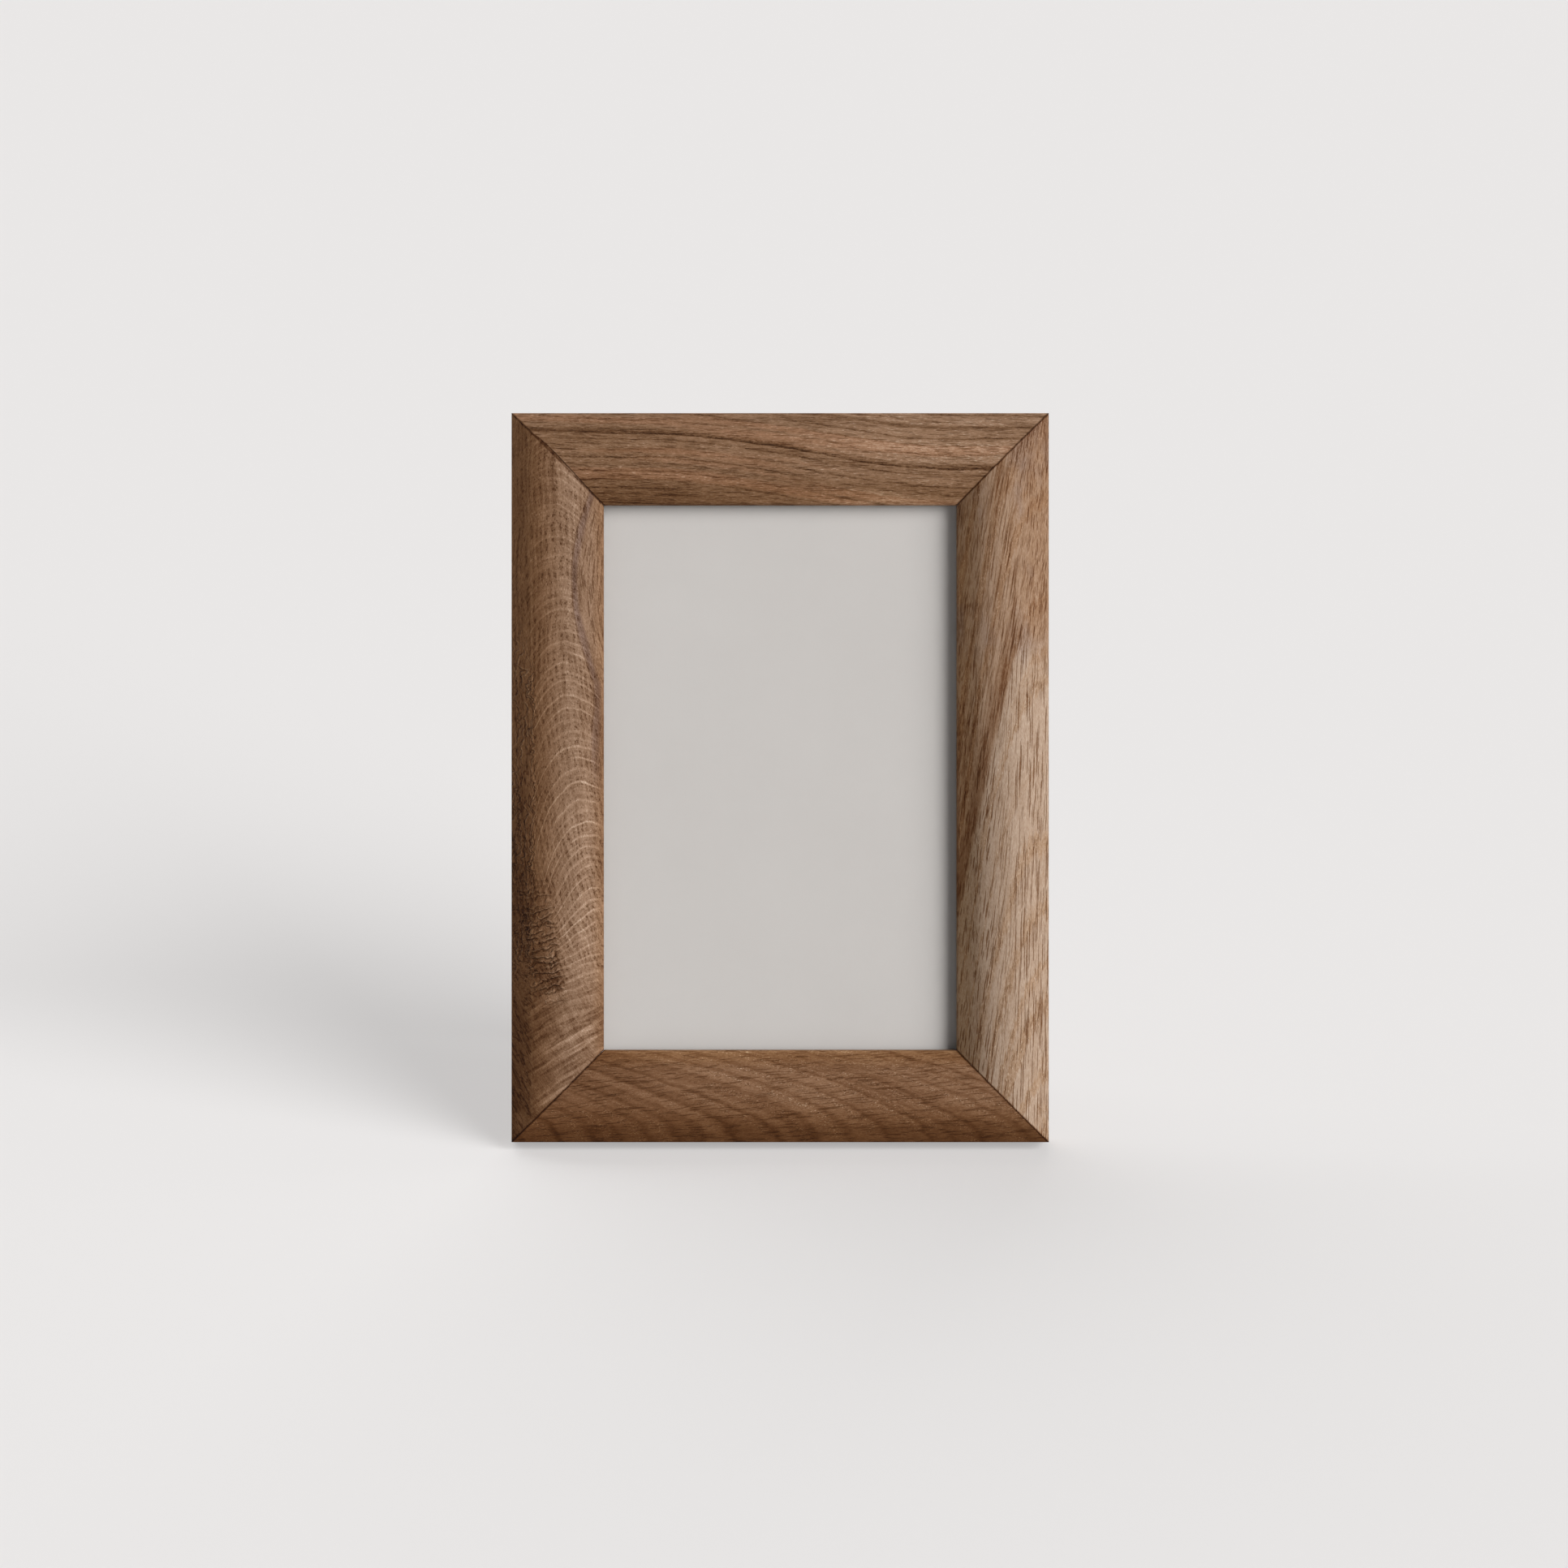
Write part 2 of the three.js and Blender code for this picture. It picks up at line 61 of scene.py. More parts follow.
# How the frame stands. Its back face and its four edges give its size, its lean and the foot of its
# back, which is the point that the upright pieces are drawn from.
mounts = {mount["name"]: mount for mount in frame["record"]["mounts"]}
backwards = Vector(mounts["wall_face"]["axis"])
lean = math.atan2(-backwards.z, backwards.y)
up = Vector((0, math.sin(lean), math.cos(lean)))
edge_at = {name: Vector(mount["pos_m"]) for name, mount in mounts.items()}
frame_height = (edge_at["top_edge"] - edge_at["bottom_edge"]).length
frame_width = (edge_at["right_edge"] - edge_at["left_edge"]).length
foot = edge_at["wall_face"] - up * (edge_at["wall_face"] - edge_at["bottom_edge"]).dot(up)
leaning = Matrix.Translation(foot) @ Matrix.Rotation(-lean, 4, "X")

# The camera looks square on to the leaning front, a millimetre right of its middle and a little below.
# The photograph's whole side spans `photo_side` in the plane of the outer edges.
outer_edge_height = 0.0105
photo_side = 0.4084
camera_distance = 0.9
camera_aim = Vector((0.0010, -outer_edge_height, 0.09335))
camera_data = bpy.data.cameras.new("camera")
camera_data.sensor_width = 36
camera_data.lens = camera_data.sensor_width * camera_distance / photo_side
camera = bpy.data.objects.new("camera", camera_data)
bpy.context.collection.objects.link(camera)
camera.matrix_world = (
    leaning
    @ Matrix.Translation(camera_aim - Vector((0, camera_distance, 0)))
    @ Matrix.Rotation(math.radians(90), 4, "X")
)
bpy.context.scene.camera = camera
bpy.context.scene.view_settings.view_transform = "Standard"

# A pale floor, a very large soft light from the upper right of the front, a weaker one from behind for the
# back, and an even glow from all round. `plain_light` is a lamp's strength that shows a colour as written.
plain_light = math.pi
glow = 0.1
studio_white = (0.807, 0.791, 0.784, 1)
floor_size = 60
floor_seen = (0.93, 0.912, 0.904, 1)
floor_in_bounced_light = (0.5, 0.49, 0.485, 1)  # darker, so that little light comes up from it
floor_glow = (0.74, 0.725, 0.719, 1)
floor_glow_share = 0.5


def lamp(name, towards, strength, spread):
    """A broad distant light in the direction `towards`, which is given in the upright frame."""
    data = bpy.data.lights.new(name, "SUN")
    data.energy = strength * plain_light
    data.angle = math.radians(spread)
    light = bpy.data.objects.new(name, data)
    bpy.context.collection.objects.link(light)
    direction = leaning.to_3x3() @ Vector(towards)
    light.rotation_mode = "QUATERNION"
    light.rotation_quaternion = direction.to_track_quat("Z", "Y")


class Level:
    """One output of a shader node. Sums of levels and numbers add the Math nodes that work them out."""

    def __init__(self, socket):
        self.socket = socket

    def node(self, kind, settings, sockets, output=0):
        tree = self.socket.id_data
        made = tree.nodes.new(kind)
        for name, value in settings.items():
            if name == "stops":
                ramp = made.color_ramp.elements
                while len(ramp) < len(value):
                    ramp.new(1)
                for element, (place, colour) in zip(ramp, value):
                    element.position = place
                    element.color = (*colour, 1)
            else:
                setattr(made, name, value)
        for name, value in sockets.items():
            if isinstance(value, Level):
                tree.links.new(value.socket, made.inputs[name])
            else:
                made.inputs[name].default_value = value
        return Level(made.outputs[output])

    def maths(self, operation, *values):
        return self.node("ShaderNodeMath", {"operation": operation}, dict(enumerate(values)))

    def __add__(self, other):
        return self.maths("ADD", self, other)

    def __radd__(self, other):
        return self.maths("ADD", other, self)

    def __sub__(self, other):
        return self.maths("SUBTRACT", self, other)

    def __rsub__(self, other):
        return self.maths("SUBTRACT", other, self)

    def __mul__(self, other):
        return self.maths("MULTIPLY", self, other)

    def __rmul__(self, other):
        return self.maths("MULTIPLY", other, self)

    def __truediv__(self, other):
        return self.maths("DIVIDE", self, other)

    def __abs__(self):
        return self.maths("ABSOLUTE", self)


def seen_directly(tree):
    """1 for what the camera sees, also mirrored or through glass, and 0 for light that bounces."""
    rays = tree.nodes.new("ShaderNodeLightPath").outputs
    straight, mirrored = Level(rays["Is Camera Ray"]), Level(rays["Is Glossy Ray"])
    either = straight.maths("MAXIMUM", straight, mirrored)
    return either.maths("MAXIMUM", either, Level(rays["Is Transmission Ray"]))


def deselect():
    bpy.ops.object.select_all(action="DESELECT")


lamp("window_light", (0.69, -0.65, 0.22), 1.36, 45)
lamp("back_light", (-0.45, 0.75, 0.5), 0.95, 90)

world = bpy.data.worlds.new("studio")
bpy.context.scene.world = world
world.use_nodes = True
background = world.node_tree.nodes["Background"]
background.inputs["Color"].default_value = studio_white
seen = seen_directly(world.node_tree)
strength = seen.node("ShaderNodeMapRange", {}, {"Value": seen, "To Min": glow / studio_white[0]})
world.node_tree.links.new(strength.socket, background.inputs["Strength"])

deselect()
bpy.ops.mesh.primitive_plane_add(size=floor_size)
floor = bpy.context.object
floor.name = "floor"
floor_paint = bpy.data.materials.new("floor")
floor_paint.use_nodes = True
tree = floor_paint.node_tree
tree.nodes.remove(tree.nodes["Principled BSDF"])
seen = seen_directly(tree)
colours = {0: seen, 6: floor_in_bounced_light, 7: floor_seen}
colour = seen.node("ShaderNodeMix", {"data_type": "RGBA"}, colours, 2)
paint = colour.node("ShaderNodeBsdfDiffuse", {}, {"Color": colour})
shown = seen.node("ShaderNodeEmission", {}, {"Color": floor_glow})
both = seen.node("ShaderNodeMixShader", {}, {0: seen * floor_glow_share, 1: paint, 2: shown})
tree.links.new(both.socket, tree.nodes["Material Output"].inputs["Surface"])
floor.data.materials.append(floor_paint)

# Four oak rails. Each is planed from one board to a section with a rounded ridge and a rebate behind its
# inner edge, then mitred at both ends. The blank lies along X with its outer edge at z = 0 and its front
# facing -Y, and is turned into its place when it is done.
rail_width = 0.024
outer_flank_slope = 0.75
inner_edge_height = 0.0107
inner_flank_slope = 0.70
ridge_reach = 0.0095  # how far the rounding runs down each flank
ridge_steps = 24
arris, inner_arris, arris_steps = 0.0005, 0.0007, 4
back_arris, back_arris_steps = 0.0003, 2
rebate_width = 0.0048
rebate_depth = 0.0087
mitre_gap_outside = 0.0001
mitre_gap_inside = 0.00034
mitre_bow = 0.0009  # how far the upper left joint bows, along each rail
bow_from, bow_full = 0.0048, 0.0085  # from the outer edge
bow_fade = 0.013  # from the inner edge
mitre_reach = 0.002  # what lies this near the mitre, along the rail, moves with it
slot_room = 0.0001
back_end = 0.001  # of a wedge: what lies this near the back face is drawn out of the wood
beyond = 0.002  # how far a tool stands out of the wood
near = 1e-5  # places nearer than this count as the same
weld = 1e-6  # corners nearer than this become one
crease_angle = math.radians(30)


def select_where(test):
    """In edit mode, selects the edges whose two ends both pass the test."""
    bpy.ops.mesh.select_all(action="DESELECT")
    bpy.ops.object.mode_set(mode="OBJECT")
    mesh = bpy.context.object.data
    for edge in mesh.edges:
        edge.select = all(test(mesh.vertices[i].co) for i in edge.vertices)
    bpy.ops.object.mode_set(mode="EDIT")


def round_off(width, steps, height, across):
    """Rounds the edge that runs along the blank, this far above its back and this far across it."""
    select_where(lambda co: abs(co.y + height) < near and abs(co.z - across) < near)
    bpy.ops.mesh.bevel(offset=width, segments=steps, affect="EDGES")


def saw(place, outwards):
    """Cuts off what lies past the plane, and closes the cut."""
    bpy.ops.mesh.select_all(action="SELECT")
    bpy.ops.mesh.bisect(plane_co=place, plane_no=outwards, use_fill=True, clear_outer=True)


def apply_modifier(piece, kind, **settings):
    bpy.context.view_layer.objects.active = piece
    modifier = piece.modifiers.new("step", kind)
    for name, value in settings.items():
        setattr(modifier, name, value)
    bpy.ops.object.modifier_apply(modifier=modifier.name)


def cut_with(piece, tool):
    """Takes the tool's shape out of the piece and deletes the tool."""
    apply_modifier(piece, "BOOLEAN", operation="DIFFERENCE", object=tool, solver="EXACT")
    bpy.data.objects.remove(tool)


def put_in(piece, place):
    """Turns a shaped piece into its place, with the turn kept in its mesh."""
    deselect()
    piece.select_set(True)
    bpy.context.view_layer.objects.active = piece
    piece.matrix_world = leaning @ place
    bpy.ops.object.transform_apply(location=True, rotation=True, scale=True)
    bpy.ops.object.shade_smooth_by_angle(angle=crease_angle)


def copy_of(node, name, grow=0.0):
    """A merged copy of a node, as a piece of its own, grown on every side by `grow`."""
    deselect()
    copy = frame["nodes"][node].copy()
    copy.data = frame["nodes"][node].data.copy()
    copy.parent = None
    copy.name = name
    for key in list(copy.keys()):
        if key.startswith("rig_"):
            del copy[key]
    bpy.context.collection.objects.link(copy)
    copy.select_set(True)
    bpy.context.view_layer.objects.active = copy
    bpy.ops.object.mode_set(mode="EDIT")
    bpy.ops.mesh.select_all(action="SELECT")
    bpy.ops.mesh.remove_doubles(threshold=weld)
    if grow:
        bpy.ops.transform.shrink_fatten(value=grow, use_even_offset=True)
    bpy.ops.object.mode_set(mode="OBJECT")
    return copy


def blank(length):
    """A rail before its holes: planed, rounded, rebated and mitred."""
    ridge = (
        inner_edge_height - outer_edge_height + inner_flank_slope * rail_width
    ) / (outer_flank_slope + inner_flank_slope)
    ridge_height = outer_edge_height + outer_flank_slope * ridge
    deselect()
    bpy.ops.mesh.primitive_cube_add(
        size=1,
        location=(0, -ridge_height / 2, rail_width / 2),
        scale=(length, ridge_height, rail_width),
    )
    rail = bpy.context.object
    bpy.ops.object.transform_apply(location=True, rotation=True, scale=True)
    bpy.ops.object.mode_set(mode="EDIT")
    saw((0, -outer_edge_height, 0), (0, -1, -outer_flank_slope))
    saw((0, -inner_edge_height, rail_width), (0, -1, inner_flank_slope))
    round_off(ridge_reach, ridge_steps, ridge_height, ridge)
    round_off(arris, arris_steps, outer_edge_height, 0)
    round_off(inner_arris, arris_steps, inner_edge_height, rail_width)
    round_off(back_arris, back_arris_steps, 0, 0)
    bpy.ops.object.mode_set(mode="OBJECT")
    bpy.ops.mesh.primitive_cube_add(
        size=1,
        location=(0, beyond / 2 - rebate_depth / 2, rail_width - rebate_width / 2 + beyond / 2),
        scale=(length + beyond, rebate_depth + beyond, rebate_width + beyond),
    )
    cut_with(rail, bpy.context.object)
    bpy.ops.object.mode_set(mode="EDIT")
    drawn_back = math.sqrt(0.5)  # each rail's share of the gap, measured along the rail
    gap_growth = (mitre_gap_inside - mitre_gap_outside) * drawn_back / rail_width
    for side in (-1, 1):
        end = side * (length / 2 - mitre_gap_outside * drawn_back)
        saw((end, 0, 0), (side, 0, 1 + gap_growth))
    bpy.ops.object.mode_set(mode="OBJECT")
    return rail


def bow_joint(rail, end):
    """Bows the mitre at x = end towards the middle of the top rail, as the upper left joint does."""
    bpy.context.view_layer.objects.active = rail
    front = [vertex.index for vertex in rail.data.vertices if vertex.co.y < -rebate_depth - near]
    bpy.ops.object.mode_set(mode="EDIT")
    bpy.ops.mesh.select_mode(type="VERT")
    for across in sorted({round(rail.data.vertices[index].co.z, 5) for index in front}):
        grown = min(max((across - bow_from) / (bow_full - bow_from), 0), 1)
        bow = mitre_bow * grown * grown * (3 - 2 * grown) * min((rail_width - across) / bow_fade, 1)
        bpy.ops.mesh.select_all(action="DESELECT")
        bpy.ops.object.mode_set(mode="OBJECT")
        for index in front:
            vertex = rail.data.vertices[index]
            at_end = abs(vertex.co.x - end) < across + mitre_reach
            vertex.select = at_end and abs(vertex.co.z - across) < near
        bpy.ops.object.mode_set(mode="EDIT")
        bpy.ops.transform.translate(value=(-bow, 0, 0))
    bpy.ops.mesh.select_mode(type="EDGE")
    bpy.ops.object.mode_set(mode="OBJECT")


# Each rail's length, its turn about Y and the middle of its outer edge.
rails = {
    "bottom_rail": (frame_width, 0, Vector((0, 0, 0))),
    "right_rail": (frame_height, -90, Vector((frame_width / 2, 0, frame_height / 2))),
    "top_rail": (frame_width, 180, Vector((0, 0, frame_height))),
    "left_rail": (frame_height, 90, Vector((-frame_width / 2, 0, frame_height / 2))),
}
wedges = [name for name in frame["nodes"] if name.startswith("mitre_wedge")]
driven_in = [name for name in frame["nodes"] if name.startswith(("clip_screw", "hanger_nail"))]


def draw_out(cutter):
    """Draws the back end of a wedge's cutter out of the wood, so that its slot is open there."""
    bpy.ops.object.mode_set(mode="EDIT")
    bpy.ops.mesh.select_mode(type="VERT")
    bpy.ops.mesh.select_all(action="DESELECT")
    bpy.ops.object.mode_set(mode="OBJECT")
    for vertex in cutter.data.vertices:
        vertex.select = (leaning.inverted() @ vertex.co).y > -back_end
    bpy.ops.object.mode_set(mode="EDIT")
    bpy.ops.transform.translate(value=backwards * beyond)
    bpy.ops.mesh.select_mode(type="EDGE")
    bpy.ops.object.mode_set(mode="OBJECT")


cutters = []
for name in wedges + driven_in:
    cutter = copy_of(name, "cutter", slot_room)
    cutters.append(cutter)
    if name in wedges:
        draw_out(cutter)
deselect()
for cutter in cutters:
    cutter.select_set(True)
bpy.context.view_layer.objects.active = cutters[0]
bpy.ops.object.join()
cutters = bpy.context.object

rail_places = {}
for name, (length, turn, place) in rails.items():
    rail = blank(length)
    rail.name = name.replace("rail", "moulding")
    if name == "top_rail":
        bow_joint(rail, length / 2)
    if name == "left_rail":
        bow_joint(rail, -length / 2)
    rail_places[name] = Matrix.Translation(place) @ Matrix.Rotation(math.radians(turn), 4, "Y")
    put_in(rail, rail_places[name])
    cutter = cutters.copy()
    bpy.context.collection.objects.link(cutter)
    cut_with(rail, cutter)
    bpy.ops.object.shade_smooth_by_angle(angle=crease_angle)
    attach(rail, "frame")
    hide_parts(name)
bpy.data.objects.remove(cutters)

# The oak's finish: bare, matt wood with its pores open. Each rail has a figure of its own, which is worked
# out in millimetres from the rail's outer edge, its back face and its middle.
mm = 1000  # to the metre


def rise(value, low, high):
    """0 up to `low`, 1 from `high` on, and smooth between. Falls where low is above high."""
    return value.node(
        "ShaderNodeMapRange",
        {"interpolation_type": "SMOOTHSTEP"},
        {"Value": value, "From Min": low, "From Max": high},
    )


def point(x, y, z):
    return x.node("ShaderNodeCombineXYZ", {}, {0: x, 1: y, 2: z})


def stretched(at, scale, shift):
    settings = {"operation": "MULTIPLY_ADD"}
    return at.node("ShaderNodeVectorMath", settings, {0: at, 1: scale, 2: (shift, shift, shift)})


def cloud(at, scale, detail=2.0, rough=0.5, shift=0.0):
    """Soft random patches, about 0.3 to 0.7, with `scale` patches per millimetre on each axis."""
    return at.node(
        "ShaderNodeTexNoise",
        {},
        {"Vector": stretched(at, scale, shift), "Scale": 1.0, "Detail": detail, "Roughness": rough},
    )


def strokes(at, size, share, shift=0.0):
    """Scattered spindles, 1 in their cores. Each box of `size` millimetres holds one, `share` as long."""
    reach = at.node(
        "ShaderNodeTexVoronoi",
        {},
        {"Vector": stretched(at, [1 / side for side in size], shift), "Scale": 1.0},
    )
    chance = Level(reach.socket.node.outputs["Color"])
    return rise(share * (chance * 1.4 + 0.2) - reach, 0.0, 0.06)


def seams(distance, scale, width):
    """Thin lines at uneven steps, `scale` of them to the millimetre, 1 along their middles."""
    gap = distance.node(
        "ShaderNodeTexVoronoi",
        {"voronoi_dimensions": "1D", "feature": "DISTANCE_TO_EDGE"},
        {"W": distance * scale, "Scale": 1.0},
    )
    return rise(gap, width * scale / 2, 0.0)


def surface(name, placed):
    """A new material, its shader, and the place on the piece in millimetres, before `placed` turned it."""
    material = bpy.data.materials.new(name)
    material.use_nodes = True
    tree = material.node_tree
    shader = tree.nodes["Principled BSDF"]
    to_blank = (leaning @ placed).inverted()
    objects = Level(tree.nodes.new("ShaderNodeTexCoord").outputs["Object"])
    at = objects.node(
        "ShaderNodeMapping",
        {},
        {
            "Vector": objects,
            "Location": to_blank.translation * mm,
            "Rotation": to_blank.to_euler("XYZ"),
            "Scale": (mm, mm, mm),
        },
    )
    return material, shader, at


def finish_surface(shader, colour, relief, roughness=None):
    """Links what changes over the surface. Relief is in millimetres."""
    tree = shader.id_data
    tree.links.new(colour.socket, shader.inputs["Base Color"])
    bump = relief.node("ShaderNodeBump", {}, {"Height": relief, "Distance": 1 / mm, "Strength": 1.0})
    tree.links.new(bump.socket, shader.inputs["Normal"])
    if roughness is not None:
        tree.links.new(roughness.socket, shader.inputs["Roughness"])


def tones(value, colours):
    """The colours at even steps of the value, from 0 to 1, and blended between."""
    stops = [(step / (len(colours) - 1), colour) for step, colour in enumerate(colours)]
    return value.node("ShaderNodeValToRGB", {"stops": stops}, {"Fac": value})


def tinted(colour, mask, tint):
    """The colour, multiplied by the tint where the mask is 1."""
    settings = {"data_type": "RGBA", "blend_type": "MULTIPLY"}
    return colour.node("ShaderNodeMix", settings, {0: mask, 6: colour, 7: (*tint, 1)}, 2)


def split(at):
    """Millimetres along the blank, up from its back face and inwards from its outer edge."""
    x = at.node("ShaderNodeSeparateXYZ", {}, {"Vector": at})
    y, z = Level(x.socket.node.outputs[1]), Level(x.socket.node.outputs[2])
    return x, 0 - y, z


def dress(piece, material):
    piece.data.materials.clear()
    piece.data.materials.append(material)


def oak(name, figure, colours):
    """Finishes a rail. The figure gives the wood's tone, its relief and any tinted patches."""
    material, shader, at = surface(name, rail_places[name])
    along, height, across = split(at)
    tone, relief, tints = figure(along, height, across)
    half_length = rails[name][0] * mm / 2
    from_joint = half_length - abs(along) - across
    grime = rise(from_joint, 0.6, 0.1) * (cloud(at, (0.6, 0.6, 0.6), 2, 0.5, 6.6) + 0.3)
    colour = tones(tone - grime * 0.45, colours)
    for mask, tint in tints:
        colour = tinted(colour, mask, tint)
    shader.inputs["Specular IOR Level"].default_value = 0.1
    finish_surface(shader, colour, relief, rise(tone, 0.9, 0.1) * 0.2 + 0.6)
    dress(bpy.data.objects[name.replace("rail", "moulding")], material)


def fibre(at, run=1.1):
    """Fine fibres along the board and their soft mottle, centred on 0. `run` sets how short they are."""
    fine = cloud(at, (3.2, 3.2, run), 2, 0.8, 3.1) - 0.5
    soft = cloud(at, (0.6, 0.6, 0.08), 2, 0.6, 7.7) - 0.5
    return fine + soft * 0.5


# Bottom rail: growth bands that fall to the right and steepen over the outer flank, short pore strokes
# that rise a little to the right, and pale flecks in the denser bands.
def bottom_figure(along, height, across):
    # Growth bands, on a ring distance that cuts slantwise through the board.
    at = point(across, height, along)
    wander = cloud(at, (0.05, 0.05, 0.02), 2, 0.5, 4.4) * 7
    serrated = cloud(at, (1.1, 1.1, 0.22), 2, 0.6, 1.7) * 1.5
    ring = across + along * 0.42 - height * 0.87 + wander + serrated
    bands = cloud(point(ring, height, along), (0.3, 0.0, 0.006), 3, 0.55, 1.3)
    dark = rise(bands, 0.46, 0.6)
    late = seams(ring, 0.27, 1.9)
    dense = seams(ring + 1.3, 0.27, 2.6) * rise(cloud(at, (0.06, 0.06, 0.03), 2, 0.6, 7.9), 0.36, 0.56)
    # Pores, flecks and specks along the lie of the fibres, and painted shade that darkens the outer flank.
    bowed = cloud(at, (0.15, 0.15, 0.08), 2, 0.5, 2.8) * 1.6
    lie = point(across - along * 0.11 + bowed, height, along)
    grain = fibre(lie)
    pore = strokes(lie, (0.36, 0.36, 10.0), 0.35)
    fleck = strokes(lie, (0.36, 0.36, 0.6), 0.15 + dense * 0.2, 5.5)
    speck = strokes(lie, (0.36, 0.36, 0.7), 0.18 + dense * 0.16, 2.5)
    # Painted shade: the outer flank, which faces down, darker, and the inner flank a little lighter, as
    # light from above falls on them.
    painted_flank_shade = rise(across, 12.0, -3.0) * 1.7 - rise(across, 13.0, 18.0) * 0.4
    # Painted highlight: a light strip along the inner arris, which faces up into the light.
    painted_lip_highlight = rise(across, 23.2, 23.5)
    tone = 0.59 - dark * 0.09 - late * 0.12 - painted_flank_shade * 0.08
    tone = tone + grain * 0.5 - pore * 0.2 + fleck * 0.21 - speck * 0.13
    tone = tone - rise(along, -20.0, -50.0) * 0.09 + painted_lip_highlight * 0.1
    # The first tint is painted shade: the downward-facing outer flank made warmer and deeper.
    tints = [(rise(across, 14.0, 0.0), (0.92, 0.8, 0.6)), (rise(across, 19.0, 23.0), (1.05, 1.0, 0.85))]
    return tone, grain * 0.03 - pore * 0.05 + fleck * 0.03 - speck * 0.04, tints


oak(
    "bottom_rail",
    bottom_figure,
    [
        (0.03, 0.009, 0.0025),
        (0.08, 0.031, 0.01),
        (0.155, 0.074, 0.035),
        (0.27, 0.152, 0.086),
        (0.5, 0.36, 0.25),
    ],
)


# Right rail: pale, with long thin pore strokes that lean towards its inner edge. A brown belt runs down
# along its inner edge, and above it the wood is browner, with steep dark waves.
def right_figure(along, height, across):
    # Growth bands, the browner upper part and the belt.
    at = point(across, height, along)
    wander = cloud(at, (0.06, 0.06, 0.02), 2, 0.5, 9.4) * 5
    serrated = cloud(at, (1.2, 1.2, 0.2), 2, 0.6, 1.7) * 2.6
    ring = across + along * 0.266 - height * 1.146 + wander + serrated
    bands = cloud(point(ring, height, along), (0.26, 0.0, 0.004), 3, 0.6, 5.2)
    early = rise(bands, 0.47, 0.57)
    inwards = across.maths("MAXIMUM", across - 9, 0.0)
    upper = rise(along + inwards * 4.6 + (bands - 0.5) * 20, 28.0, 37.0)
    belt = rise(abs(across - 17.4 + along * 0.215 + (bands - 0.5) * 5), 2.2, 0.7)
    belt = belt * rise(along, 48.0, 28.0)
    # Pore strokes that lean on the inner flank and above, short strokes, flecks and the steep waves.
    bowed = cloud(at, (0.2, 0.2, 0.06), 2, 0.5, 2.8) * 1.2
    leaned = point(across + along * 0.14 + bowed, height, along)
    lie = point(across + along * 0.04 + bowed, height, along)
    grain = fibre(lie, 0.8)
    inner = rise(across, 7.0, 17.0)
    slope = inner.maths("MAXIMUM", inner, upper)
    pore = strokes(lie, (0.36, 0.36, 17.0), 0.38) * (1 - slope)
    pore = pore + strokes(leaned, (0.36, 0.36, 17.0), 0.38) * slope
    pore = pore * (1 - upper * 0.3)
    short = strokes(leaned, (0.34, 0.34, 3.4), 0.05 + early * 0.27, 1.5) * (1 - upper * 0.5)
    fleck = strokes(lie, (0.36, 0.36, 0.9), 0.06 + early * 0.24, 5.5)
    swept = point(across + along * 0.2 + bowed, height, along)
    wave = rise(abs(cloud(swept, (0.36, 0.36, 0.02), 2, 0.6, 3.7) - 0.5), 0.045, 0.0)
    wave = wave * rise(across, 4.0, 11.0) + strokes(swept, (0.8, 0.8, 22.0), 0.36, 6.7) * 0.8
    tone = 0.65 - early * 0.07 - upper * (0.09 + wave * 0.16) - belt * 0.17
    tone = tone - rise(across, 17.0, 22.0) * 0.04 + upper * rise(across, 6.0, 11.0) * 0.05
    tone = tone + rise(along, 10.0, 25.0) * rise(across, 14.0, 18.0) * 0.07
    tone = tone - rise(along, 35.0, 55.0) * rise(across, 8.0, 4.0) * 0.04
    tone = tone + grain * 0.55 - pore * 0.33 - short * 0.18 + fleck * 0.18
    smudge = rise(along, 20.0, 45.0) * rise(cloud(at, (0.1, 0.1, 0.05), 2, 0.6, 4.1), 0.5, 0.7)
    tints = [
        (upper, (0.97, 0.89, 0.82)),
        (early, (1.0, 0.94, 0.86)),
        # Painted shade: the inner flank, turned from the light, made warmer and deeper.
        (rise(across, 15.0, 23.0), (0.95, 0.86, 0.7)),
        (smudge, (0.85, 0.9, 1.05)),
    ]
    return tone, grain * 0.03 - pore * 0.06 - short * 0.05 + fleck * 0.03, tints


oak(
    "right_rail",
    right_figure,
    [
        (0.055, 0.02, 0.006),
        (0.13, 0.061, 0.028),
        (0.245, 0.157, 0.099),
        (0.38, 0.28, 0.208),
        (0.58, 0.48, 0.39),
    ],
)


